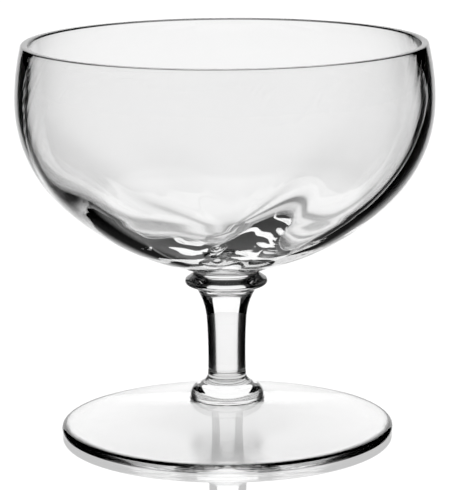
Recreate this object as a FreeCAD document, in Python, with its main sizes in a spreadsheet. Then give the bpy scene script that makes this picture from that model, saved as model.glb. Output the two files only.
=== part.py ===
import FreeCAD, Part
import math
import os

import Sketcher

# Sherbet glass: a wide bowl on a short solid stem and a broad foot, all fused hot into one piece.
# Millimetres, +Z up, origin on the table at the centre of the foot, +Z along the axis of the glass.

# The driving dimensions, each with a note for whoever changes it
SIZES = [
    ("overall_height", 88.7, "table to the top of the lip"),
    ("bowl_height", 52.3, "bowl from the tip of its underside to the lip"),
    ("bowl_radius", 46.8, "outside of the bowl at its widest ring"),
    ("belly_drop", 12.8, "widest ring below the lip"),
    ("rim_draw", 1.6, "how far the lip is drawn in from the widest ring"),
    ("belly_arc", 31.4, "outside arc of the belly"),
    ("base_offset", 5.6, "middle of the flatter arc under the bowl, past the axis"),
    ("rim_wall", 1.7, "wall at the lip"),
    ("belly_wall", 2.7, "wall at the widest ring"),
    ("floor_glass", 5.8, "glass under the bowl's floor on the axis"),
    ("inner_belly_arc", 28.6, "inside arc of the belly"),
    ("inner_belly_rise", 0.8, "inside's widest ring above the outside's"),
    ("lip_round", 0.45, "fire-polished rounding on both edges of the lip"),
    ("optic_lobes", 8, "waves around the inside of the bowl"),
    ("optic_depth", 0.6, "height of a wave above the mean wall, low in the bowl"),
    ("optic_start", 20.0, "degrees from +X to a ridge of the waves on the floor"),
    ("optic_turn", 34.0, "degrees the waves turn between floor and lip"),
    ("optic_fade", 11.0, "radius about the axis within which the waves die out on the floor"),
    ("neck_radius", 7.5, "neck between bowl and collar"),
    ("collar_radius", 9.3, "collar at its edge"),
    ("collar_thickness", 3.4, "collar from the stem to the bowl"),
    ("collar_edge_rise", 1.65, "collar's edge above the top of the stem"),
    ("collar_edge_round", 0.88, "rounding of the collar's edge"),
    ("trumpet_flare", 2.56, "how much wider than the waist the stem is under the collar"),
    ("trumpet_length", 7.0, "flared top of the stem"),
    ("trumpet_arc", 15.0, "arc of the flare"),
    ("waist_radius", 4.24, "stem at its narrowest"),
    ("waist_rise", 9.5, "narrowest ring above the middle of the boss"),
    ("boss_radius", 8.3, "rounded boss at the foot of the stem"),
    ("boss_round", 2.7, "shoulder of the boss"),
    ("boss_blend", 2.6, "hollow between stem and boss"),
    ("boss_sink", 0.9, "middle of the boss below the tip of the foot's cone"),
    ("foot_radius", 37.6, "outside of the foot"),
    ("foot_peak", 9.2, "tip of the foot's cone, inside the boss"),
    ("foot_edge_round", 1.05, "rounding of the foot's edge"),
    ("foot_edge_height", 1.0, "middle of the foot's edge above the table"),
    ("hollow_crown", 30.0, "arc at the top of the hollow under the foot"),
    ("contact_width", 0.9, "flat ring that the glass stands on"),
    ("join_round", 0.4, "soft corner where two gathers of glass meet"),
]

# How far the boss and the neck reach into the glass that they are fused to, as shares of a size
SEAT_SHARE = 0.5
NECK_SHARE = 0.5

# The splines of the bowl's inside: points up its dish, belly and wall, and poles around each wave
DISH_STEPS = 8
BELLY_STEPS = 8
WALL_STEPS = 4
POLES_PER_LOBE = 6
SPLINE_DEGREE = 3

# How far the space in the bowl stands out above the lip, and how soon the waves fade up the wall
OVERCUT = 2.0
FADE_POWER = 1.3

# How near an edge has to be to count as found, and the most of the wall that the lip's rounding takes
SLACK = 0.02
LIP_LIMIT = 0.46

doc = FreeCAD.newDocument("sherbet_glass")


def make_sheet():
    """Put the driving dimensions in the sheet: name, number and note in one row each."""
    sheet = doc.addObject("Spreadsheet::Sheet", "sizes")
    for row, (alias, value, note) in enumerate(SIZES, start=1):
        sheet.set("A%d" % row, alias)
        sheet.set("B%d" % row, str(value))
        sheet.set("C%d" % row, note)
        sheet.setAlias("B%d" % row, alias)
    doc.recompute()
    return sheet


sheet = make_sheet()


def size(alias):
    """Read one driving dimension from the sheet."""
    return float(sheet.get(alias))


# Places that follow from the driving dimensions: as numbers, and as rules for the sketches
bowl_base = size("overall_height") - size("bowl_height")
stem_top = bowl_base - size("collar_thickness")
boss_height = size("foot_peak") - size("boss_sink")
belly_height = size("overall_height") - size("belly_drop")
trumpet_radius = size("waist_radius") + size("trumpet_flare")

BOWL_BASE = "sizes.overall_height - sizes.bowl_height"
STEM_TOP = BOWL_BASE + " - sizes.collar_thickness"
BOSS_HEIGHT = "sizes.foot_peak - sizes.boss_sink"
BELLY_HEIGHT = "sizes.overall_height - sizes.belly_drop"
TRUMPET_RADIUS = "sizes.waist_radius + sizes.trumpet_flare"

# Places on a sketch element, and the sketch's own origin and axes
START, END, CENTRE = 1, 2, 3
ORIGIN = (-1, 1)
X_AXIS, Y_AXIS = -1, -2


def half_section(body, name):
    """Start a sketch of half a section: its x is the radius and its y the height."""
    sketch = body.newObject("Sketcher::SketchObject", name)
    plane = next(f for f in body.Origin.OriginFeatures if f.Role == "XZ_Plane")
    sketch.AttachmentSupport = [(plane, "")]
    sketch.MapMode = "FlatFace"
    return sketch


def line(sketch, start, end):
    return sketch.addGeometry(Part.LineSegment(FreeCAD.Vector(*start, 0), FreeCAD.Vector(*end, 0)))


def arc(sketch, centre, start, end):
    """Add an arc that runs anticlockwise from start to end."""
    middle = FreeCAD.Vector(*centre, 0)
    to_start = FreeCAD.Vector(*start, 0) - middle
    to_end = FreeCAD.Vector(*end, 0) - middle
    circle = Part.Circle(middle, FreeCAD.Vector(0, 0, 1), to_start.Length)
    first = math.atan2(to_start.y, to_start.x)
    last = math.atan2(to_end.y, to_end.x)
    if last < first:
        last += 2 * math.pi
    return sketch.addGeometry(Part.ArcOfCircle(circle, first, last))


def touch_point(outside, centre, radius, side):
    """Where a line from a point outside a circle touches it; side 1 is anticlockwise, -1 clockwise."""
    across = outside[0] - centre[0]
    up = outside[1] - centre[1]
    angle = math.atan2(up, across) + side * math.acos(radius / math.hypot(across, up))
    return (centre[0] + radius * math.cos(angle), centre[1] + radius * math.sin(angle))


def run_on(start, through, further):
    """The point that lies further along a line from start, past another point on it."""
    share = further / math.hypot(through[0] - start[0], through[1] - start[1])
    return (through[0] + share * (through[0] - start[0]), through[1] + share * (through[1] - start[1]))


def tie(sketch, kind, *places):
    sketch.addConstraint(Sketcher.Constraint(kind, *places))


def drive(sketch, name, kind, places, rule):
    """Add a dimension and bind it to the sheet; rule is an expression on the sheet's aliases."""
    value = float(sketch.evalExpression(rule))
    index = sketch.addConstraint(Sketcher.Constraint(kind, *places, value))
    sketch.renameConstraint(index, name)
    sketch.setExpression("Constraints." + name, rule)


def revolve(body, sketch, name):
    """Turn a half section about the axis of the glass."""
    doc.recompute()
    if not sketch.FullyConstrained:
        raise RuntimeError(sketch.Name + " is not fully constrained")
    feature = body.newObject("PartDesign::Revolution", name)
    feature.Profile = sketch
    feature.ReferenceAxis = (sketch, ["V_Axis"])
    feature.Angle = 360
    doc.recompute()
    return feature


def foot_section(body):
    """Half section of the foot: a low cone on a flat ring, hollowed below to an even thickness."""
    round_ = size("foot_edge_round")
    middle = (size("foot_radius") - round_, size("foot_edge_height"))
    peak = (0, size("foot_peak"))
    shoulder = touch_point(peak, middle, round_, -1)
    outer = (middle[0] + math.sqrt(round_ ** 2 - middle[1] ** 2), 0)
    inner = (outer[0] - size("contact_width"), 0)
    fall = math.atan2(peak[1] - shoulder[1], shoulder[0])
    crown = size("hollow_crown")
    crown_middle = (0, inner[0] * math.tan(fall) - crown / math.cos(fall))
    crown_side = (crown * math.sin(fall), crown_middle[1] + crown * math.cos(fall))
    hollow = (0, crown_middle[1] + crown)

    sketch = half_section(body, "foot_section")
    axis = line(sketch, hollow, peak)
    cone = line(sketch, peak, shoulder)
    edge = arc(sketch, middle, outer, shoulder)
    ring = line(sketch, outer, inner)
    under = line(sketch, inner, crown_side)
    top = arc(sketch, crown_middle, crown_side, hollow)

    tie(sketch, "Coincident", axis, END, cone, START)
    tie(sketch, "Tangent", cone, END, edge, END)
    tie(sketch, "Coincident", edge, START, ring, START)
    tie(sketch, "Coincident", ring, END, under, START)
    tie(sketch, "Tangent", under, END, top, START)
    tie(sketch, "Coincident", top, END, axis, START)
    tie(sketch, "Parallel", under, cone)
    tie(sketch, "PointOnObject", axis, START, Y_AXIS)
    tie(sketch, "Vertical", axis)
    tie(sketch, "PointOnObject", top, CENTRE, Y_AXIS)
    tie(sketch, "PointOnObject", ring, START, X_AXIS)
    tie(sketch, "Horizontal", ring)
    drive(sketch, "hollow_crown", "Radius", (top,), "sizes.hollow_crown")
    drive(sketch, "peak", "DistanceY", (*ORIGIN, axis, END), "sizes.foot_peak")
    drive(sketch, "edge_round", "Radius", (edge,), "sizes.foot_edge_round")
    drive(sketch, "edge_height", "DistanceY", (*ORIGIN, edge, CENTRE), "sizes.foot_edge_height")
    drive(sketch, "edge_reach", "DistanceX", (*ORIGIN, edge, CENTRE),
          "sizes.foot_radius - sizes.foot_edge_round")
    drive(sketch, "ring_width", "DistanceX", (ring, END, ring, START), "sizes.contact_width")
    return sketch


def stem_section(body):
    """Half section of the stem, from the boss in the foot up to the collar and neck."""
    boss = (size("boss_radius") - size("boss_round"), boss_height)
    seat_height = boss_height - SEAT_SHARE * size("boss_round")
    seat = (boss[0] + size("boss_round") * math.sqrt(1 - SEAT_SHARE ** 2), seat_height)
    waist_height = boss_height + size("waist_rise")
    trumpet = (trumpet_radius, stem_top)
    flare_height = stem_top - size("trumpet_length")
    flare_rise = flare_height - waist_height
    horn_width = size("trumpet_arc") - math.sqrt(size("trumpet_arc") ** 2 - size("trumpet_length") ** 2)
    slope = (size("trumpet_flare") - horn_width) / (flare_rise / 2 + size("trumpet_length"))
    flare = (size("waist_radius") + slope * flare_rise / 2, flare_height)
    waist = (size("waist_radius") + flare_rise / slope, waist_height)
    reach = size("boss_round") + size("boss_blend")
    blend_radius = size("waist_radius") + size("boss_blend")
    blend = (blend_radius, boss_height + math.sqrt(reach ** 2 - (blend_radius - boss[0]) ** 2))
    blend_low = run_on(boss, blend, -size("boss_blend"))
    blend_high = (size("waist_radius"), blend[1])
    collar = (size("collar_radius") - size("collar_edge_round"), stem_top + size("collar_edge_rise"))
    neck_low = (size("neck_radius"), bowl_base)
    collar_low = touch_point(trumpet, collar, size("collar_edge_round"), 1)
    collar_high = touch_point(neck_low, collar, size("collar_edge_round"), -1)
    neck_high = (size("neck_radius"), bowl_base + NECK_SHARE * size("floor_glass"))

    sketch = half_section(body, "stem_section")
    bottom = line(sketch, (0, seat_height), seat)
    shoulder = arc(sketch, boss, seat, blend_low)
    hollow = arc(sketch, blend, blend_high, blend_low)
    side = arc(sketch, waist, flare, blend_high)
    horn = arc(sketch, (flare[0] + size("trumpet_arc"), flare[1]), trumpet, flare)
    under = line(sketch, trumpet, collar_low)
    edge = arc(sketch, collar, collar_low, collar_high)
    over = line(sketch, collar_high, neck_low)
    neck = line(sketch, neck_low, neck_high)
    top = line(sketch, neck_high, (0, neck_high[1]))
    axis = line(sketch, (0, neck_high[1]), (0, seat_height))

    tie(sketch, "Coincident", bottom, END, shoulder, START)
    tie(sketch, "Tangent", shoulder, END, hollow, END)
    tie(sketch, "Tangent", hollow, START, side, END)
    tie(sketch, "Tangent", side, START, horn, END)
    tie(sketch, "Coincident", horn, START, under, START)
    tie(sketch, "Tangent", under, END, edge, START)
    tie(sketch, "Tangent", edge, END, over, START)
    tie(sketch, "Coincident", over, END, neck, START)
    tie(sketch, "Coincident", neck, END, top, START)
    tie(sketch, "Coincident", top, END, axis, START)
    tie(sketch, "Coincident", axis, END, bottom, START)
    tie(sketch, "PointOnObject", axis, START, Y_AXIS)
    tie(sketch, "Vertical", axis)
    tie(sketch, "Vertical", neck)
    tie(sketch, "Horizontal", bottom)
    tie(sketch, "Horizontal", top)
    drive(sketch, "seat_height", "DistanceY", (*ORIGIN, bottom, START),
          BOSS_HEIGHT + " - %s * sizes.boss_round" % SEAT_SHARE)
    drive(sketch, "boss_reach", "DistanceX", (*ORIGIN, shoulder, CENTRE),
          "sizes.boss_radius - sizes.boss_round")
    drive(sketch, "boss_height", "DistanceY", (*ORIGIN, shoulder, CENTRE), BOSS_HEIGHT)
    drive(sketch, "boss_round", "Radius", (shoulder,), "sizes.boss_round")
    drive(sketch, "boss_blend", "Radius", (hollow,), "sizes.boss_blend")
    drive(sketch, "waist_height", "DistanceY", (*ORIGIN, side, CENTRE),
          BOSS_HEIGHT + " + sizes.waist_rise")
    waist_ring = sketch.addGeometry(Part.Point(FreeCAD.Vector(size("waist_radius"), waist_height, 0)))
    sketch.setConstruction(waist_ring, True)
    tie(sketch, "PointOnObject", waist_ring, START, side)
    tie(sketch, "Horizontal", waist_ring, START, side, CENTRE)
    drive(sketch, "waist_radius", "DistanceX", (*ORIGIN, waist_ring, START), "sizes.waist_radius")
    drive(sketch, "flare_height", "DistanceY", (*ORIGIN, side, START),
          STEM_TOP + " - sizes.trumpet_length")
    drive(sketch, "trumpet_arc", "Radius", (horn,), "sizes.trumpet_arc")
    drive(sketch, "trumpet_radius", "DistanceX", (*ORIGIN, horn, START), TRUMPET_RADIUS)
    drive(sketch, "stem_top", "DistanceY", (*ORIGIN, horn, START), STEM_TOP)
    drive(sketch, "collar_reach", "DistanceX", (*ORIGIN, edge, CENTRE),
          "sizes.collar_radius - sizes.collar_edge_round")
    drive(sketch, "collar_height", "DistanceY", (*ORIGIN, edge, CENTRE),
          STEM_TOP + " + sizes.collar_edge_rise")
    drive(sketch, "collar_round", "Radius", (edge,), "sizes.collar_edge_round")
    drive(sketch, "neck_radius", "DistanceX", (*ORIGIN, neck, START), "sizes.neck_radius")
    drive(sketch, "neck_low", "DistanceY", (*ORIGIN, neck, START), BOWL_BASE)
    drive(sketch, "neck_high", "DistanceY", (*ORIGIN, neck, END),
          BOWL_BASE + " + %s * sizes.floor_glass" % NECK_SHARE)
    return sketch


def bowl_section(body):
    """Half section of the bowl's outside, still solid, from its underside up to the lip."""
    belly = (size("bowl_radius") - size("belly_arc"), belly_height)
    wide = (size("bowl_radius"), belly_height)
    lip = (size("bowl_radius") - size("rim_draw"), size("overall_height"))
    upper = (size("belly_drop") ** 2 + size("rim_draw") ** 2) / (2 * size("rim_draw"))
    tip = (0, bowl_base)
    rise = belly_height - bowl_base
    width = belly[0] + size("base_offset")
    over = rise ** 2 + width ** 2 - size("base_offset") ** 2 - size("belly_arc") ** 2
    base = (-size("base_offset"), bowl_base + over / (2 * (rise - size("belly_arc"))))
    below = run_on(base, belly, size("belly_arc"))

    sketch = half_section(body, "bowl_section")
    under = arc(sketch, base, tip, below)
    side = arc(sketch, belly, below, wide)
    above = arc(sketch, (size("bowl_radius") - upper, belly_height), wide, lip)
    top = line(sketch, lip, (0, lip[1]))
    axis = line(sketch, (0, lip[1]), tip)

    tie(sketch, "Tangent", under, END, side, START)
    tie(sketch, "Tangent", side, END, above, START)
    tie(sketch, "Coincident", above, END, top, START)
    tie(sketch, "Coincident", top, END, axis, START)
    tie(sketch, "Coincident", axis, END, under, START)
    tie(sketch, "PointOnObject", axis, START, Y_AXIS)
    tie(sketch, "Vertical", axis)
    tie(sketch, "Horizontal", top)
    tie(sketch, "Horizontal", side, CENTRE, side, END)
    drive(sketch, "base_offset", "DistanceX", (under, CENTRE, *ORIGIN), "sizes.base_offset")
    drive(sketch, "belly_arc", "Radius", (side,), "sizes.belly_arc")
    drive(sketch, "belly_reach", "DistanceX", (*ORIGIN, side, CENTRE),
          "sizes.bowl_radius - sizes.belly_arc")
    drive(sketch, "belly_height", "DistanceY", (*ORIGIN, side, CENTRE), BELLY_HEIGHT)
    drive(sketch, "lip_radius", "DistanceX", (*ORIGIN, above, END),
          "sizes.bowl_radius - sizes.rim_draw")
    drive(sketch, "lip_height", "DistanceY", (*ORIGIN, above, END), "sizes.overall_height")
    drive(sketch, "bowl_base", "DistanceY", (*ORIGIN, under, START), BOWL_BASE)
    return sketch


def inside_line():
    """Points up the mean inside of the bowl (dish, belly and wall), and its direction at the top."""
    floor = bowl_base + size("floor_glass")
    middle_height = belly_height + size("inner_belly_rise")
    wide = size("bowl_radius") - size("belly_wall")
    belly = size("inner_belly_arc")
    reach = wide - belly
    depth = middle_height - floor
    dish = (reach ** 2 + depth ** 2 - belly ** 2) / (2 * (depth - belly))
    join = math.atan2(dish - depth, reach)
    lip_radius = size("bowl_radius") - size("rim_draw") - size("rim_wall")
    drop = size("overall_height") - middle_height
    draw = wide - lip_radius
    upper = (drop ** 2 + draw ** 2) / (2 * draw)
    top = math.asin((drop + OVERCUT) / upper)

    points = []
    for step in range(DISH_STEPS):
        angle = (math.pi / 2 - join) * step / DISH_STEPS
        points.append((dish * math.sin(angle), floor + dish * (1 - math.cos(angle))))
    for step in range(BELLY_STEPS):
        angle = join * (1 - step / BELLY_STEPS)
        points.append((reach + belly * math.cos(angle), middle_height - belly * math.sin(angle)))
    for step in range(WALL_STEPS + 1):
        angle = top * step / WALL_STEPS
        points.append((wide - upper * (1 - math.cos(angle)), middle_height + upper * math.sin(angle)))
    return points, (-math.sin(top), 0, math.cos(top))


def swell(times, poles):
    """How far poles stand out from the cubic spline that runs inside them, for what repeats this often."""
    return 3 / (2 + math.cos(2 * math.pi * times / poles))


def cavity_solid():
    """The space in the bowl: a spline face turned from the inside line, waved by the optic."""
    points, up_the_wall = inside_line()
    generator = Part.BSplineCurve()
    generator.interpolate(
        Points=[FreeCAD.Vector(r, 0, z) for r, z in points],
        InitialTangent=FreeCAD.Vector(1, 0, 0),
        FinalTangent=FreeCAD.Vector(*up_the_wall),
        Scale=True,
    )
    floor = bowl_base + size("floor_glass")
    rise = size("overall_height") - floor
    lobes = int(size("optic_lobes"))
    count = lobes * POLES_PER_LOBE

    poles = []
    for column in range(count):
        angle = 2 * math.pi * column / count
        row = []
        for pole in generator.getPoles():
            share = min(max((pole.z - floor) / rise, 0), 1)
            fade = (1 - math.exp(-(pole.x / size("optic_fade")) ** 2)) * (1 - share) ** FADE_POWER
            turned = math.radians(size("optic_start") + size("optic_turn") * share)
            wave = size("optic_depth") * fade * math.cos(lobes * (angle - turned))
            radius = swell(1, count) * pole.x - swell(lobes, count) * wave
            row.append(FreeCAD.Vector(radius * math.cos(angle), radius * math.sin(angle), pole.z))
        poles.append(row)

    surface = Part.BSplineSurface()
    surface.buildFromPolesMultsKnots(
        poles,
        [1] * (count + 1),
        generator.getMultiplicities(),
        list(range(count + 1)),
        generator.getKnots(),
        True,
        False,
        SPLINE_DEGREE,
        generator.Degree,
    )
    wall = surface.toShape()
    top = wall.BoundBox.ZMax
    rim = [edge for edge in wall.Edges if not edge.Degenerated and edge.BoundBox.ZMin > top - SLACK]
    lid = Part.Face(Part.Wire(rim))
    shell = Part.Shell([wall, lid])
    shell.sewShape()
    return Part.makeSolid(shell)


def ring_edges(shape, radii, heights):
    """Numbers of the level ring edges about the axis between two radii and two heights."""
    numbers = []
    for number, edge in enumerate(shape.Edges, start=1):
        box = edge.BoundBox
        level = box.ZLength < SLACK and heights[0] - SLACK < box.ZMin < heights[1] + SLACK
        if level and radii[0] - SLACK < box.XLength / 2 < radii[1] + SLACK:
            numbers.append(number)
    return numbers


def soften_joins(body, form):
    """Round the four inside corners where one gather of glass was fused to the next."""
    boss_rings = (boss_height - SEAT_SHARE * size("boss_round"), boss_height)
    neck_rings = (bowl_base, bowl_base + NECK_SHARE * size("floor_glass"))
    joins = (
        ring_edges(form.Shape, (size("boss_radius") - size("boss_round"), size("boss_radius")), boss_rings)
        + ring_edges(form.Shape, (trumpet_radius,) * 2, (stem_top,) * 2)
        + ring_edges(form.Shape, (size("neck_radius"),) * 2, neck_rings)
    )
    if len(joins) != 4:
        raise RuntimeError("expected four joins, found %d" % len(joins))
    fillet = body.newObject("PartDesign::Fillet", "joins")
    fillet.Base = (form, ["Edge%d" % number for number in joins])
    fillet.setExpression("Radius", "sizes.join_round")
    doc.recompute()
    return fillet


def fire_polish(glass):
    """Round both edges of the lip, as the flame leaves them."""
    whole = (0, size("bowl_radius"))
    lip = (size("overall_height"),) * 2
    rounding = min(size("lip_round"), LIP_LIMIT * size("rim_wall"))
    edges = ring_edges(glass.Shape, whole, lip)
    if len(edges) != 2:
        raise RuntimeError("expected two edges at the lip, found %d" % len(edges))
    polished = doc.addObject("Part::Fillet", "sherbet_glass")
    polished.Base = glass
    polished.Edges = [(number, rounding, rounding) for number in edges]
    doc.recompute()
    return polished


body = doc.addObject("PartDesign::Body", "solid_form")
body.Label = "solid_form"
revolve(body, foot_section(body), "foot")
revolve(body, stem_section(body), "stem")
soften_joins(body, revolve(body, bowl_section(body), "bowl"))

cavity = doc.addObject("Part::Feature", "bowl_space")
cavity.Shape = cavity_solid()
cavity.Placement = FreeCAD.Placement()

hollowed = doc.addObject("Part::Cut", "hollowed_form")
hollowed.Base = body
hollowed.Tool = cavity
doc.recompute()

glass = fire_polish(hollowed)
glass.Label = "sherbet_glass"
glass.Placement = FreeCAD.Placement()
doc.recompute()

for item in doc.Objects:
    if "Invalid" in item.State or "Error" in item.State:
        raise RuntimeError(item.Name + " failed: " + ", ".join(item.State))
for item in (body, cavity, hollowed, glass):
    if item.Shape.isNull() or not item.Shape.isValid() or len(item.Shape.Solids) != 1:
        raise RuntimeError(item.Name + " is not one sound solid")

os.makedirs("parts", exist_ok=True)
glass.Shape.exportStep("parts/" + glass.Label + ".step")
print(glass.Label, "volume", round(glass.Shape.Volume), "mm3")
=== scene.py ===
# %% [markdown]
# # A sherbet glass in clear blown glass
# The glass is a wide round bowl on a short solid stem, with a collar above, a rounded boss below and
# a low cone of a foot. Each part is a gather of hot glass, fused to the next while it is soft, so the
# finished glass is one piece and has no seam inside.
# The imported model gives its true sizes. This lesson draws the same form again, fine enough for light
# to bend through it, and then lights it as a studio lights clear glass. The model could be shown as
# it is, but its waves are all alike, and clear glass shows the edges of its flat facets.

import math

import bpy
from mathutils import Matrix, Vector


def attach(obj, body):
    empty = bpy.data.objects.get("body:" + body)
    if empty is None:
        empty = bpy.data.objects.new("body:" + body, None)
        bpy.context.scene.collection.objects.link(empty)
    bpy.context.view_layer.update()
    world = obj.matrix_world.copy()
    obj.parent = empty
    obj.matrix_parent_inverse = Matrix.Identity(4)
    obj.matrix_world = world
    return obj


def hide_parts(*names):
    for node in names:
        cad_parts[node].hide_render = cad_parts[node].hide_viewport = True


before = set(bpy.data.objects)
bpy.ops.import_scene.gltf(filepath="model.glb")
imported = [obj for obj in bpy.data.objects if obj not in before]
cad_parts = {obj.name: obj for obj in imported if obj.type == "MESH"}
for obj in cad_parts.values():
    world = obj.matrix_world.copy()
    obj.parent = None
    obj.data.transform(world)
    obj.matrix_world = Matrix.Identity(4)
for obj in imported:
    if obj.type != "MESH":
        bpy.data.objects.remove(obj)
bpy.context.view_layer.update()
print("packed nodes:", sorted(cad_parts))

# %% [markdown]
# ## Drawing half an outline
# A turned thing is easiest to make from half of its outline. It could be piled up from cylinders and
# spheres, but then the blends between them would have to be cut and bridged, and clear glass shows
# every clumsy join. One outline that is spun once has no joins at all.
# The outline is drawn with a pen. The pen starts as one vertex and then leaves edges behind it:
# straight ones with Extrude, and arcs with Spin about the middle of the arc. Everything is in
# millimetres, with the radius across and the height up.

# %% Pen
MM = 0.001


def deselect_all():
    """Leave edit mode and let go of everything, because an operator acts on all that is selected."""
    if bpy.context.object and bpy.context.object.mode != "OBJECT":
        bpy.ops.object.mode_set(mode="OBJECT")
    bpy.ops.object.select_all(action="DESELECT")


pen = {"at": (0.0, 0.0), "vertices": 1}


def pen_down(name, at):
    """Start an outline: a small plane merged to one vertex, carried to where the line begins."""
    deselect_all()
    bpy.ops.mesh.primitive_plane_add(size=MM, location=(0, 0, 0))
    outline = bpy.context.object
    outline.name = name
    bpy.ops.object.mode_set(mode="EDIT")
    bpy.ops.mesh.merge(type="CENTER")
    bpy.ops.transform.translate(value=(at[0] * MM, 0, at[1] * MM))
    pen.update(at=at, vertices=1)
    return outline


def line_to(end, steps=1):
    """Draw a straight line in a few equal steps."""
    across = (end[0] - pen["at"][0]) / steps
    up = (end[1] - pen["at"][1]) / steps
    for _ in range(steps):
        bpy.ops.mesh.extrude_region_move(TRANSFORM_OT_translate={"value": (across * MM, 0, up * MM)})
    pen.update(at=end, vertices=pen["vertices"] + steps)


def arc_to(middle, end, steps):
    """Draw an arc about its middle, the short way round."""
    first = math.atan2(pen["at"][1] - middle[1], pen["at"][0] - middle[0])
    last = math.atan2(end[1] - middle[1], end[0] - middle[0])
    angle = (last - first + math.pi) % (2 * math.pi) - math.pi
    place = (middle[0] * MM, 0, middle[1] * MM)
    bpy.ops.mesh.spin(steps=steps, angle=angle, center=place, axis=(0, 1, 0))
    pen.update(at=end, vertices=pen["vertices"] + steps)


print("the pen draws lines and arcs in the plane through the axis")

# %% [markdown]
# ## Where curves touch
# Smooth glass has no corners, so each arc of the outline starts in the direction in which the last
# one ended. The places where they touch could be found by eye, but an error of a tenth of a
# millimetre shows in glass as a bright ring. They are worked out instead, with five rules that a
# draughtsman would use with ruler and compasses.

# %% Ruler and compasses


def touch_point(outside, middle, radius, side):
    """Where a line from a point outside a circle touches it; side 1 is anticlockwise, -1 clockwise."""
    across = outside[0] - middle[0]
    up = outside[1] - middle[1]
    angle = math.atan2(up, across) + side * math.acos(radius / math.hypot(across, up))
    return (middle[0] + radius * math.cos(angle), middle[1] + radius * math.sin(angle))


def run_on(start, through, further):
    """The point that lies further along a line from start, past another point on it."""
    share = further / math.hypot(through[0] - start[0], through[1] - start[1])
    return (through[0] + share * (through[0] - start[0]), through[1] + share * (through[1] - start[1]))


def circles_meet(first, first_radius, second, second_radius):
    """Where two circles cross, on the left of the way from the first middle to the second."""
    way = Vector(second) - Vector(first)
    along = (first_radius ** 2 - second_radius ** 2 + way.length ** 2) / (2 * way.length)
    off = math.sqrt(first_radius ** 2 - along ** 2)
    way.normalize()
    return (first[0] + along * way.x - off * way.y, first[1] + along * way.y + off * way.x)


def line_meets_circle(start, end, middle, radius):
    """The first place where a line from start towards end crosses a circle."""
    way = (Vector(end) - Vector(start)).normalized()
    to_middle = Vector(middle) - Vector(start)
    along = to_middle.dot(way)
    off = math.sqrt(radius ** 2 - (to_middle - along * way).length_squared)
    hit = Vector(start) + (along - off) * way
    return (hit.x, hit.y)


def beside(start, end, distance):
    """A line's start and end moved sideways: to its right, or to its left where distance is negative."""
    way = (Vector(end) - Vector(start)).normalized()
    off = distance * Vector((way.y, -way.x))
    return tuple(Vector(start) + off), tuple(Vector(end) + off)


print("a line from (5, 0) touches the unit circle at", touch_point((5, 0), (0, 0), 1, 1))

# %% [markdown]
# ## The foot
# On the real glass the foot is a gather pressed and spun out to a low cone of nearly even thickness.
# It stands on a narrow ring, and the hollow under it runs up beside the cone to a rounded top below
# the stem. A plain disc would be quicker, but the stem would then show through it many times over.
# With an even thickness the foot is as clean as a window, and only its edge is dark.
# The pen starts on the axis, at the top of the hollow, and goes down and out to the ring.

# %% Foot
FOOT_RADIUS = 37.6
FOOT_PEAK = 9.2
FOOT_EDGE_ROUND = 1.05
FOOT_EDGE_HEIGHT = 1.0
HOLLOW_CROWN = 30.0
CONTACT_WIDTH = 0.9

edge_middle = (FOOT_RADIUS - FOOT_EDGE_ROUND, FOOT_EDGE_HEIGHT)
ring_outer = (edge_middle[0] + math.sqrt(FOOT_EDGE_ROUND ** 2 - FOOT_EDGE_HEIGHT ** 2), 0.0)
ring_inner = (ring_outer[0] - CONTACT_WIDTH, 0.0)
cone_peak = (0.0, FOOT_PEAK)
cone_end = touch_point(cone_peak, edge_middle, FOOT_EDGE_ROUND, -1)
fall = math.atan2(FOOT_PEAK - cone_end[1], cone_end[0])
crown_middle = (0.0, ring_inner[0] * math.tan(fall) - HOLLOW_CROWN / math.cos(fall))
crown_end = (HOLLOW_CROWN * math.sin(fall), crown_middle[1] + HOLLOW_CROWN * math.cos(fall))

glass = pen_down("sherbet_glass_blown", (0.0, crown_middle[1] + HOLLOW_CROWN))
arc_to(crown_middle, crown_end, steps=12)
line_to(ring_inner, steps=12)
line_to(ring_outer, steps=2)
arc_to(edge_middle, (FOOT_RADIUS, FOOT_EDGE_HEIGHT), steps=8)
arc_to(edge_middle, cone_end, steps=8)
print("foot drawn as far as radius %.2f, height %.2f" % pen["at"])

# %% [markdown]
# ## The boss and the stem
# The stem was drawn out of a gather that was pushed on to the foot, so it ends in a rounded boss like
# a flattened ball. Above it the stem has a waist, one arc so long that it looks nearly straight, and
# then it flares like a trumpet under the collar. A straight cylinder with rings pushed over it would
# be quicker, but the dark lines that run down the real stem bend with each of these curves.
# Where two gathers met, the surface runs from one to the other in a tight soft corner. Such a corner
# could be made with Bevel afterwards, but on an outline it is one more arc of 0.4 mm.

# %% Boss and stem
OVERALL_HEIGHT = 88.7
BOWL_HEIGHT = 52.3
COLLAR_THICKNESS = 3.4
BOSS_RADIUS = 8.3
BOSS_ROUND = 2.7
BOSS_BLEND = 2.6
BOSS_SINK = 0.9
WAIST_RADIUS = 4.24
WAIST_RISE = 9.5
WAIST_ARC = 121.8
TRUMPET_RADIUS = 6.8
TRUMPET_ARC = 15.0
JOIN_ROUND = 0.4

bowl_base = OVERALL_HEIGHT - BOWL_HEIGHT
stem_top = bowl_base - COLLAR_THICKNESS
boss = (BOSS_RADIUS - BOSS_ROUND, FOOT_PEAK - BOSS_SINK)
waist = (WAIST_RADIUS + WAIST_ARC, boss[1] + WAIST_RISE)
trumpet = (TRUMPET_RADIUS, stem_top)

above_cone = beside(cone_end, cone_peak, JOIN_ROUND)
join = line_meets_circle(*above_cone, boss, BOSS_ROUND + JOIN_ROUND)
on_cone = tuple(Vector(join) + Vector(cone_end) - Vector(above_cone[0]))
line_to(on_cone, steps=16)
arc_to(join, run_on(boss, join, -JOIN_ROUND), steps=6)

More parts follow.
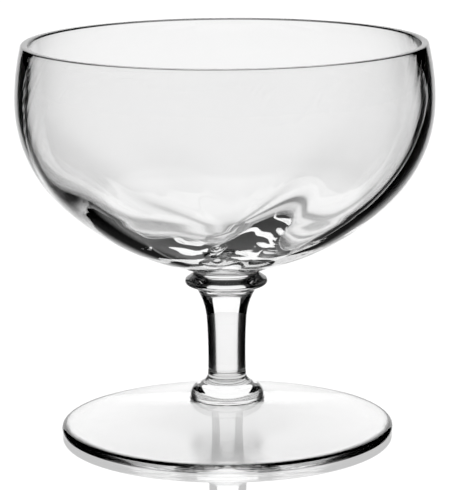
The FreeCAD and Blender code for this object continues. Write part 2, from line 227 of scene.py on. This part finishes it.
blend = circles_meet(boss, BOSS_ROUND + BOSS_BLEND, waist, WAIST_ARC - BOSS_BLEND)
arc_to(boss, run_on(boss, blend, -BOSS_BLEND), steps=14)
arc_to(blend, run_on(waist, blend, BOSS_BLEND), steps=14)
horn = circles_meet(waist, WAIST_ARC - TRUMPET_ARC, trumpet, TRUMPET_ARC)
arc_to(waist, run_on(waist, horn, TRUMPET_ARC), steps=16)
print("stem drawn as far as radius %.2f, height %.2f" % pen["at"])

# %% [markdown]
# ## The collar and the neck
# A merese, as glassmakers call it, is the flattened button of glass between stem and bowl. It hides
# the place where the two were joined. It could be a torus, but the real one is a thin lens with a
# small round edge, so it is two straight sides that touch an arc. A short neck leads up to the bowl.
# A 0.4 mm corner at the collar has its middle, join, on a line that runs 0.4 mm beside the collar's
# side. Such a line is under_collar or over_collar.

# %% Collar and neck
COLLAR_RADIUS = 9.3
COLLAR_EDGE_RISE = 1.65
COLLAR_EDGE_ROUND = 0.88
NECK_RADIUS = 7.5

collar = (COLLAR_RADIUS - COLLAR_EDGE_ROUND, stem_top + COLLAR_EDGE_RISE)
neck_low = (NECK_RADIUS, bowl_base)
collar_low = touch_point(trumpet, collar, COLLAR_EDGE_ROUND, 1)
collar_high = touch_point(neck_low, collar, COLLAR_EDGE_ROUND, -1)

under_collar = beside(trumpet, collar_low, JOIN_ROUND)
join = line_meets_circle(*under_collar, horn, TRUMPET_ARC - JOIN_ROUND)
arc_to(horn, run_on(horn, join, JOIN_ROUND), steps=12)
arc_to(join, tuple(Vector(join) + Vector(trumpet) - Vector(under_collar[0])), steps=4)
line_to(collar_low, steps=2)
arc_to(collar, (COLLAR_RADIUS, collar[1]), steps=7)
arc_to(collar, collar_high, steps=5)

over_collar = beside(collar_high, neck_low, JOIN_ROUND)
share = (NECK_RADIUS + JOIN_ROUND - over_collar[0][0]) / (over_collar[1][0] - over_collar[0][0])
join = tuple(Vector(over_collar[0]).lerp(Vector(over_collar[1]), share))
line_to(tuple(Vector(join) + Vector(collar_high) - Vector(over_collar[0])), steps=2)
arc_to(join, (NECK_RADIUS, join[1]), steps=5)
print("collar drawn as far as radius %.2f, height %.2f" % pen["at"])

# %% [markdown]
# ## The outside of the bowl
# The blower's mould gave the bowl three arcs that run into each other: a flatter one underneath, a
# rounder one for the belly, and a long one that draws the lip in by 1.6 mm. A sphere scaled to an
# egg would come close, but its belly would sit too low.
# The lower arc is the hard one: its middle lies a little past the axis, it goes through the point
# where the bowl's underside meets the axis, and it touches the belly's arc. Its radius, written in
# both ways, gives a quadratic equation for the height of its middle.

# %% Bowl's outside
BOWL_RADIUS = 46.8
BELLY_DROP = 12.8
BELLY_ARC = 31.4
BASE_OFFSET = 5.6
RIM_DRAW = 1.6
LIP_ROUND = 0.45

belly = (BOWL_RADIUS - BELLY_ARC, OVERALL_HEIGHT - BELLY_DROP)
rise = belly[1] - bowl_base
half = (rise ** 2 + (belly[0] + BASE_OFFSET) ** 2 - BASE_OFFSET ** 2 - BELLY_ARC ** 2) / 2
square = rise ** 2 - BELLY_ARC ** 2
base_lift = (rise * half + BELLY_ARC * math.sqrt(half ** 2 + BASE_OFFSET ** 2 * square)) / square
base = (-BASE_OFFSET, bowl_base + base_lift)
base_arc = math.hypot(BASE_OFFSET, base_lift)
upper_arc = (BELLY_DROP ** 2 + RIM_DRAW ** 2) / (2 * RIM_DRAW)
upper = (BOWL_RADIUS - upper_arc, belly[1])

join_radius = NECK_RADIUS + JOIN_ROUND
join_drop = math.sqrt((base_arc + JOIN_ROUND) ** 2 - (join_radius - base[0]) ** 2)
join = (join_radius, base[1] - join_drop)
line_to((NECK_RADIUS, join[1]))
arc_to(join, run_on(base, join, -JOIN_ROUND), steps=6)
arc_to(base, run_on(base, belly, BELLY_ARC), steps=24)
arc_to(belly, (BOWL_RADIUS, belly[1]), steps=28)

lip_height = OVERALL_HEIGHT - LIP_ROUND
outer_reach = math.sqrt((upper_arc - LIP_ROUND) ** 2 - (lip_height - upper[1]) ** 2)
outer_lip = (upper[0] + outer_reach, lip_height)
arc_to(upper, run_on(upper, outer_lip, LIP_ROUND), steps=10)
arc_to(outer_lip, (outer_lip[0], OVERALL_HEIGHT), steps=8)
print("bowl drawn up to radius %.2f, height %.2f" % pen["at"])

# %% [markdown]
# ## The inside of the bowl
# A blown wall isn't even. It is 1.7 mm at the lip, 2.7 mm at the belly and nearly 6 mm on the axis,
# where the glass stayed thick because it cooled against the neck. Solidify could give the bowl a
# wall, but an even one, and the heavy dark lens at the bottom of the bowl would be missing. So the
# pen goes on over the lip, which a flame has rounded, and down the inside to the axis.
# The number of the first vertex past the lip is kept, because the waves come on the inside only.

# %% Bowl's inside
RIM_WALL = 1.7
BELLY_WALL = 2.7
FLOOR_GLASS = 5.8
INNER_BELLY_ARC = 28.6
INNER_BELLY_RISE = 0.8

floor_height = bowl_base + FLOOR_GLASS
inner_wide = (BOWL_RADIUS - BELLY_WALL, belly[1] + INNER_BELLY_RISE)
inner_drop = OVERALL_HEIGHT - inner_wide[1]
inner_draw = inner_wide[0] - (BOWL_RADIUS - RIM_DRAW - RIM_WALL)
wall_arc = (inner_drop ** 2 + inner_draw ** 2) / (2 * inner_draw)
wall = (inner_wide[0] - wall_arc, inner_wide[1])
inner_reach = math.sqrt((wall_arc + LIP_ROUND) ** 2 - (lip_height - wall[1]) ** 2)
inner_lip = (wall[0] + inner_reach, lip_height)
inner_belly = (inner_wide[0] - INNER_BELLY_ARC, inner_wide[1])
depth = inner_wide[1] - floor_height
dish_arc = (inner_belly[0] ** 2 + depth ** 2 - INNER_BELLY_ARC ** 2) / (2 * (depth - INNER_BELLY_ARC))
dish = (0.0, floor_height + dish_arc)

line_to((inner_lip[0], OVERALL_HEIGHT))
arc_to(inner_lip, run_on(wall, inner_lip, -LIP_ROUND), steps=8)
first_inside = pen["vertices"]
arc_to(wall, inner_wide, steps=10)
arc_to(inner_belly, run_on(dish, inner_belly, INNER_BELLY_ARC), steps=24)
arc_to(dish, (0.0, floor_height), steps=26)
print("outline closed on the axis with", pen["vertices"], "vertices,", first_inside, "before the inside")

# %% [markdown]
# ## Spinning the glass
# Spin turns the outline about the axis of the glass in 256 steps. The Screw modifier would do the
# same, but the operator carries a vertex group along, and that marks the inside of the bowl for the
# next step. The last step lands on the first and both ends of the outline lie on the axis, so Merge by
# Distance closes the seam and the two poles. Then the normals are turned outwards.

# %% Spin
SPIN_STEPS = 256
MERGE_DISTANCE = 0.005

bpy.ops.object.mode_set(mode="OBJECT")
inside = glass.vertex_groups.new(name="inside")
inside.add([v.index for v in glass.data.vertices if v.index >= first_inside], 1.0, "REPLACE")

bpy.ops.object.mode_set(mode="EDIT")
bpy.ops.mesh.select_all(action="SELECT")
bpy.ops.mesh.spin(steps=SPIN_STEPS, angle=2 * math.pi, center=(0, 0, 0), axis=(0, 0, 1))
bpy.ops.mesh.select_all(action="SELECT")
bpy.ops.mesh.remove_doubles(threshold=MERGE_DISTANCE * MM)
bpy.ops.mesh.normals_make_consistent(inside=False)
bpy.ops.object.mode_set(mode="OBJECT")
bpy.ops.object.shade_smooth()
print("glass spun to", len(glass.data.polygons), "faces")

# %% [markdown]
# ## The optic
# Before it was blown out, the bubble was dipped in a ribbed mould and then turned. That leaves eight
# soft ridges inside the bowl, which lean over as they rise and fade towards the lip: an optic. The
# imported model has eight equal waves. On the real glass no two are alike, and this is what gives the
# dark line low in the bowl its own shape, a long swell on the left and a steep crest right of the
# middle. A Displace modifier with a texture can't be steered that closely, so each vertex of the
# inside is moved by a rule: ridges and valleys at their own angles, eased from one to the next.
# Two more things show that a hand held the pipe. The whole inside leans a little to one side, and it
# is a little oval.

# %% Optic
# Each ridge: its angle in degrees from +X on the bowl's floor, its height in millimetres, and the
# depth of the valley after it. Two of the eight hardly rose.
RIDGES = [
    (21, 0.60, 0.60),
    (65, 0.60, 0.60),
    (110, 0.60, 0.60),
    (148, 0.65, 1.20),
    (203, -0.05, 0.60),
    (238, 0.05, 1.75),
    (283, 1.05, 0.35),
    (341, 1.10, 0.55),
]
OPTIC_TURN = 40.0
OPTIC_FADE = 11.0
RIDGE_POWER = 1.3
LEAN, LEAN_TOWARDS = 0.7, 53.0
OVAL, OVAL_TOWARDS = 0.2, 21.0
LEAN_POWER = 0.5


def ridge_height(angle):
    """Height of the waves at an angle on the floor, in millimetres above the mean inside."""
    angle = (angle - RIDGES[0][0]) % 360 + RIDGES[0][0]
    around = RIDGES + [(RIDGES[0][0] + 360, *RIDGES[0][1:])]
    for (ridge, height, valley), (next_ridge, next_height, _) in zip(around, around[1:]):
        if angle > next_ridge:
            continue
        middle = (ridge + next_ridge) / 2
        if angle < middle:
            start, end, share = height, -valley, (angle - ridge) / (middle - ridge)
        else:
            start, end, share = -valley, next_height, (angle - middle) / (next_ridge - middle)
        return start + (end - start) * (1 - math.cos(math.pi * share)) / 2


for vertex in glass.data.vertices:
    radius = math.hypot(vertex.co.x, vertex.co.y) / MM
    if not vertex.groups or radius < MERGE_DISTANCE:
        continue
    share = min(max((vertex.co.z / MM - floor_height) / (OVERALL_HEIGHT - floor_height), 0), 1)
    angle = math.degrees(math.atan2(vertex.co.y, vertex.co.x))
    wave = (1 - share) ** RIDGE_POWER * ridge_height(angle - OPTIC_TURN * share)
    lean = LEAN * math.cos(math.radians(angle - LEAN_TOWARDS))
    oval = OVAL * math.cos(2 * math.radians(angle - OVAL_TOWARDS))
    off_axis = 1 - math.exp(-(radius / OPTIC_FADE) ** 2)
    move = off_axis * (wave + (1 - share) ** LEAN_POWER * (lean + oval))
    vertex.co.x *= 1 - move / radius
    vertex.co.y *= 1 - move / radius

glass.vertex_groups.clear()
heights = [ridge_height(angle) for angle in range(360)]
print("waves on the floor from %.2f to %.2f mm" % (min(heights), max(heights)))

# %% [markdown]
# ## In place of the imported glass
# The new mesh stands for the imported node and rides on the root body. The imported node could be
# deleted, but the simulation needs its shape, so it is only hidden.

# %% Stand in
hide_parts("sherbet_glass")
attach(glass, "root")
print("triangles:", sum(len(face.vertices) - 2 for face in glass.data.polygons))

# %% [markdown]
# ## Clear soda-lime glass
# The glass is colourless soda-lime glass, blown and then polished by the flame. To the eye it is a
# perfectly smooth, clear body. It has no colour of its own and is seen only by what it bends and
# mirrors: black where it looks past the light, white where it looks into it.
# A Glass shader would do, but the Principled shader with full transmission exports better. Its IOR
# is the 1.52 of window glass and its roughness is zero, because flame polish leaves no grain.

# %% Helpers for materials


def from_hex(code):
    """Turn an sRGB hex colour into the linear colour that a shader works in, by sRGB's own curve."""
    channels = [int(code[i:i + 2], 16) / 255 for i in (1, 3, 5)]
    return (*(c / 12.92 if c <= 0.04045 else ((c + 0.055) / 1.055) ** 2.4 for c in channels), 1.0)


def new_material(name):
    """A new material with its node tree."""
    material = bpy.data.materials.new(name)
    material.use_nodes = True
    return material, material.node_tree


def add_node(tree, kind, values=None, links=None, **settings):
    """Add a node, choose its settings, fill in its sockets and link other nodes' sockets to it."""
    node = tree.nodes.new(kind)
    for name, value in settings.items():
        setattr(node, name, value)
    for name, value in (values or {}).items():
        node.inputs[name].default_value = value
    for name, source in (links or {}).items():
        tree.links.new(source, node.inputs[name])
    return node


print("mid grey #808080 is", round(from_hex("#808080")[0], 3), "in linear light")

# %% Glass
GLASS_IOR = 1.52

clear_glass, tree = new_material("flame_polished_soda_lime_glass")
shader = tree.nodes["Principled BSDF"]
shader.inputs["Base Color"].default_value = from_hex("#FFFFFF")
shader.inputs["Roughness"].default_value = 0.0
shader.inputs["IOR"].default_value = GLASS_IOR
shader.inputs["Transmission Weight"].default_value = 1.0
glass.data.materials.clear()
glass.data.materials.append(clear_glass)
mirrored = ((GLASS_IOR - 1) / (GLASS_IOR + 1)) ** 2
print("glass mirrors %.1f %% of the light that meets it squarely" % (100 * mirrored))

# %% [markdown]
# ## Striae
# Near both edges of the bowl, where the eye looks along the wall, fine slanting lines show. They are
# striae, faint cords that were in the hot glass and turned with the ridges. They are about two
# millimetres apart and less than two hundredths of a millimetre deep. The mesh would have to be five
# times as fine to hold them, so they are a bump.
# Noise on a flat ring gives them: each point's direction from the axis is turned back by as much as
# the optic has turned at that height, so one line of the noise follows one cord up the bowl, and the
# ring has no seam. The bump fades in half way up the bowl, because lower down, where the wall is
# thick, the photograph shows none.

# %% Striae
STRIA_WIDTH = 1.95
STRIA_DEPTH = 0.018
STRIAE_START, STRIAE_FULL = 62.0, 72.0

place = add_node(tree, "ShaderNodeTexCoord")
apart = add_node(tree, "ShaderNodeSeparateXYZ", links={"Vector": place.outputs["Object"]})
level = add_node(tree, "ShaderNodeCombineXYZ", links={"X": apart.outputs["X"], "Y": apart.outputs["Y"]})
direction = add_node(tree, "ShaderNodeVectorMath", links={0: level.outputs[0]}, operation="NORMALIZE")
turn_back = add_node(
    tree,
    "ShaderNodeMapRange",
    {
        "From Min": floor_height * MM,
        "From Max": OVERALL_HEIGHT * MM,
        "To Min": 0.0,
        "To Max": -math.radians(OPTIC_TURN),
    },
    {"Value": apart.outputs["Z"]},
    clamp=False,
)
turned = add_node(
    tree,
    "ShaderNodeVectorRotate",
    links={"Vector": direction.outputs[0], "Angle": turn_back.outputs["Result"]},
    rotation_type="Z_AXIS",
)
cords = add_node(
    tree,
    "ShaderNodeTexNoise",
    {"Scale": BOWL_RADIUS / STRIA_WIDTH, "Detail": 1.0},
    {"Vector": turned.outputs[0]},
)
up_the_bowl = add_node(
    tree,
    "ShaderNodeMapRange",
    {"From Min": STRIAE_START * MM, "From Max": STRIAE_FULL * MM},
    {"Value": apart.outputs["Z"]},
)
bump = add_node(
    tree,
    "ShaderNodeBump",
    {"Distance": STRIA_DEPTH * MM},
    {"Strength": up_the_bowl.outputs["Result"], "Height": cords.outputs["Fac"]},
)
tree.links.new(bump.outputs["Normal"], shader.inputs["Normal"])
print("striae:", round(2 * math.pi * BOWL_RADIUS / STRIA_WIDTH), "around the bowl")

# %% [markdown]
# ## The table
# The glass stands on a white table with a deep gloss. A gloss mirrors most when light grazes it, and
# from steeply above the white under it takes over. The photograph shows two things of the table.
# Beside the glass it is plain white, and the foot and the stem are mirrored in it at half strength.
# Seen through the glass it is a softer mirror of the studio: white towards the back, black towards
# the dark sides, with painted shade and a painted glow where the glass throws light steeply down. One
# material can't be both, so two sheets lie on each other: the camera sees the upper one, and light
# that comes through the glass meets the lower one.
# Facing is what Layer Weight measures: 1 for a grazing look and 0 for one from straight above.

# %% Upper sheet
TABLE_SIZE = 60.0
TABLE_GLOW = 1.12
TABLE_ROUGHNESS = 0.02
PLAIN_FACING = 0.5  # the blend at which facing is one minus the sine of the look's angle to the table

# Facing, and the share of light that is mirrored there
MIRROR_BY_FACING = [(0.30, 0.04), (0.60, 0.50)]


def lay_sheet(name, height):
    """A sheet of the table at a height in millimetres, with an empty node tree to fill."""
    deselect_all()
    bpy.ops.mesh.primitive_plane_add(size=TABLE_SIZE, location=(0, 0, height * MM))
    sheet = bpy.context.object
    sheet.name = name
    material, tree = new_material(name)
    tree.nodes.clear()
    sheet.data.materials.append(material)
    return sheet, tree


def by_facing(tree, steepest, most_grazing):
    """A number that eases from one value to another as the look goes from steep to grazing."""
    facing = add_node(tree, "ShaderNodeLayerWeight", {"Blend": PLAIN_FACING})
    values = {
        "From Min": steepest[0],
        "From Max": most_grazing[0],
        "To Min": steepest[1],
        "To Max": most_grazing[1],
    }
    eased = add_node(
        tree,
        "ShaderNodeMapRange",
        values,
        {"Value": facing.outputs["Facing"]},
        interpolation_type="SMOOTHSTEP",
    )
    return eased.outputs["Result"]


upper_sheet, tree = lay_sheet("white_gloss_table", 0.0)
upper_sheet.visible_transmission = False
upper_sheet.visible_glossy = False
upper_sheet.visible_diffuse = False
mirrored = by_facing(tree, *MIRROR_BY_FACING)
glow = add_node(tree, "ShaderNodeEmission", {"Strength": TABLE_GLOW})
mirror = add_node(
    tree,
    "ShaderNodeBsdfGlossy",
    {"Color": from_hex("#FFFFFF"), "Roughness": TABLE_ROUGHNESS},
)
both = add_node(
    tree,
    "ShaderNodeMixShader",
    links={0: mirrored, 1: glow.outputs[0], 2: mirror.outputs[0]},
)
add_node(tree, "ShaderNodeOutputMaterial", links={"Surface": both.outputs[0]})
print("table is", TABLE_SIZE, "m wide and mirrors", MIRROR_BY_FACING[1][1], "of a grazing look")

# %% [markdown]
# ## What the glass sees in the table
# The thick floor of the bowl throws light down at the table, and where it lands at 33 to 42 degrees
# the photograph is dark, so the lower sheet's mirror fades nearly to black as its facing falls, a
# painted shade. One smooth fade could do that, but the foot, the belly and the floor of the bowl each
# show another slope, so the strength is given stop by stop. From still steeper the sheet glows white
# though it is no lamp, a painted light.
# The mirror is a little rough, and blurs what is far above it.

# %% Lower sheet
SHEET_GAP = 0.02
SHINE_ROUGHNESS = 0.28

# Facing, and the strength there of the mirror with its painted shade, and of the painted white glow
SHINE_AND_PAINTED_SHADE_BY_FACING = [
    (0.455, 0.04),
    (0.500, 0.32),
    (0.577, 0.78),
    (0.660, 0.92),
    (0.720, 0.94),
    (0.800, 0.98),
    (0.880, 1.00),
]
PAINTED_GLOW_BY_FACING = [(0.26, 0.75), (0.33, 0.0)]

lower_sheet, tree = lay_sheet("soft_mirror_with_painted_shade_and_glow", -SHEET_GAP)
lower_sheet.visible_camera = False
facing = add_node(tree, "ShaderNodeLayerWeight", {"Blend": PLAIN_FACING})
# The mirror's strength fades nearly to black between 33 and 42 degrees: painted shade.
shine_and_painted_shade = add_node(tree, "ShaderNodeValToRGB", links={"Fac": facing.outputs["Facing"]})
stops = shine_and_painted_shade.color_ramp.elements
while len(stops) < len(SHINE_AND_PAINTED_SHADE_BY_FACING):
    stops.new(0.5)
for stop, (position, strength) in zip(stops, SHINE_AND_PAINTED_SHADE_BY_FACING):
    stop.position = position
    stop.color = (strength, strength, strength, 1.0)
mirror = add_node(
    tree,
    "ShaderNodeBsdfGlossy",
    {"Roughness": SHINE_ROUGHNESS},
    {"Color": shine_and_painted_shade.outputs["Color"]},
)
# From steeper than about 42 degrees the sheet glows white though it is no lamp: painted light.
glow = add_node(tree, "ShaderNodeEmission", links={"Strength": by_facing(tree, *PAINTED_GLOW_BY_FACING)})
both = add_node(tree, "ShaderNodeAddShader", links={0: glow.outputs[0], 1: mirror.outputs[0]})
add_node(tree, "ShaderNodeOutputMaterial", links={"Surface": both.outputs[0]})
print("lower sheet has", len(stops), "stops")

# %% [markdown]
# ## The camera
# The lip and the foot are circles, and in the photograph they are ellipses. A camera could be moved
# about until they look right, but their widths and heights give its place: 606 mm in front of the
# axis, 166 mm up and looking down by eleven and a half degrees, with a long lens. The camera is
# turned by half a pixel, because a photograph's pixels are counted from their corners and a render's
# from their middles.

# %% Camera
CAMERA_DISTANCE, CAMERA_HEIGHT = 606.4, 166.1
PITCH, PAN, ROLL = math.radians(11.512), math.radians(-0.011), math.radians(-0.445)
FOCAL_PIXELS = 2750.0
PICTURE_HEIGHT = 490
SENSOR = 36.0

half_pixel = 0.5 / FOCAL_PIXELS
pitch = PITCH - half_pixel
pan = PAN - half_pixel
forward = Vector((math.sin(pan) * math.cos(pitch), math.cos(pan) * math.cos(pitch), -math.sin(pitch)))
level_right = Vector((math.cos(pan), -math.sin(pan), 0))
level_up = level_right.cross(forward)
right = math.cos(ROLL) * level_right + math.sin(ROLL) * level_up
up = math.cos(ROLL) * level_up - math.sin(ROLL) * level_right

camera_data = bpy.data.cameras.new("camera")
camera_data.sensor_width = SENSOR
camera_data.lens = FOCAL_PIXELS * SENSOR / PICTURE_HEIGHT
camera = bpy.data.objects.new("camera", camera_data)
bpy.context.scene.collection.objects.link(camera)
camera.matrix_world = Matrix((
    (right.x, up.x, -forward.x, 0),
    (right.y, up.y, -forward.y, -CAMERA_DISTANCE * MM),
    (right.z, up.z, -forward.z, CAMERA_HEIGHT * MM),
    (0, 0, 0, 1),
))
bpy.context.scene.camera = camera
bpy.context.view_layer.update()
print("lens of %.0f mm, looking down by %.1f degrees" % (camera_data.lens, math.degrees(pitch)))

# %% [markdown]
# ## Bright field
# Clear glass is photographed against a bright field with dark edges. The middle of the studio is
# white and its sides are black. Light that passes through the middle of the glass comes from the
# white, and light that the edges bend sideways comes from the black, which draws the dark outline.
# The white comes from the world, up to 60 degrees above the table. It could be a lit backdrop, but a
# world is even by itself and never runs out of size.

# %% World
WHITE = 1.07
OVERHEAD = 0.03
WHITE_TOP, WHITE_FADE = 60.0, 10.0

world = bpy.data.worlds.new("bright_field")
bpy.context.scene.world = world
world.use_nodes = True
tree = world.node_tree
background = tree.nodes["Background"]
background.inputs["Color"].default_value = from_hex("#FFFFFF")
place = add_node(tree, "ShaderNodeTexCoord")
apart = add_node(tree, "ShaderNodeSeparateXYZ", links={"Vector": place.outputs["Generated"]})
fade = add_node(
    tree,
    "ShaderNodeMapRange",
    {
        "From Min": math.sin(math.radians(WHITE_TOP)),
        "From Max": math.sin(math.radians(WHITE_TOP + WHITE_FADE)),
        "To Min": WHITE,
        "To Max": OVERHEAD,
    },
    {"Value": apart.outputs["Z"]},
    interpolation_type="SMOOTHSTEP",
)
tree.links.new(fade.outputs["Result"], background.inputs["Strength"])
print("world is white up to", WHITE_TOP, "degrees")

# %% [markdown]
# ## Black cards
# Two tall cards stand to the left and right, far enough apart to leave a white wedge of 26 degrees
# each way behind the glass, and a third one stands behind the camera. Small cards close to the glass
# would do in a studio, but far ones give the same dark to each part of it. They are covered in black
# velvet, which sends back almost no light. They go with the camera, so the outline is as crisp from
# any side, and they cast no shadow and take no light from the table.

# %% Cards
CARD_SIDE = 1400.0
CARD_NEAR, CARD_FAR = -2000.0, 2900.0
CARD_LOW, CARD_TOP = 0.5, 6000.0

black_velvet, tree = new_material("black_velvet")
velvet = tree.nodes["Principled BSDF"]
velvet.inputs["Base Color"].default_value = from_hex("#000000")
velvet.inputs["Roughness"].default_value = 1.0
velvet.inputs["Specular IOR Level"].default_value = 0.0


def stand_card(name, start, end):
    """An upright card between two places on the table, which then goes with the camera."""
    corners = [(*start, CARD_LOW), (*end, CARD_LOW), (*end, CARD_TOP), (*start, CARD_TOP)]
    mesh = bpy.data.meshes.new(name)
    mesh.from_pydata([Vector(corner) * MM for corner in corners], [], [(0, 1, 2, 3)])
    card = bpy.data.objects.new(name, mesh)
    bpy.context.scene.collection.objects.link(card)
    card.data.materials.append(black_velvet)
    card.parent = camera
    card.matrix_parent_inverse = camera.matrix_world.inverted()
    card.visible_diffuse = False
    card.visible_shadow = False


stand_card("card_left", (-CARD_SIDE, CARD_NEAR), (-CARD_SIDE, CARD_FAR))
stand_card("card_right", (CARD_SIDE, CARD_NEAR), (CARD_SIDE, CARD_FAR))
stand_card("card_behind_camera", (-CARD_SIDE, CARD_NEAR), (CARD_SIDE, CARD_NEAR))
print("white wedge of", round(math.degrees(math.atan2(CARD_SIDE, CARD_FAR))), "degrees each way")

# %% [markdown]
# ## Through many walls
# A line of sight meets up to a dozen surfaces of the glass, and inside a thick wall it is mirrored on
# and on. With too few bounces these places turn black. The Standard view keeps white at white, where
# the softer ones would turn it grey.

# %% Bounces and view
MOST_BOUNCES = 32
MIRROR_BOUNCES = 16

scene = bpy.context.scene
scene.cycles.max_bounces = MOST_BOUNCES
scene.cycles.transmission_bounces = MOST_BOUNCES
scene.cycles.glossy_bounces = MIRROR_BOUNCES
scene.view_settings.view_transform = "Standard"
print("light may bounce", MOST_BOUNCES, "times, and", MIRROR_BOUNCES, "of them may be mirrored")

# %% [markdown]
# ## Bringing the scene up to date
# The view layer is updated once more, so every object's place is current.

# %% Update
bpy.context.view_layer.update()
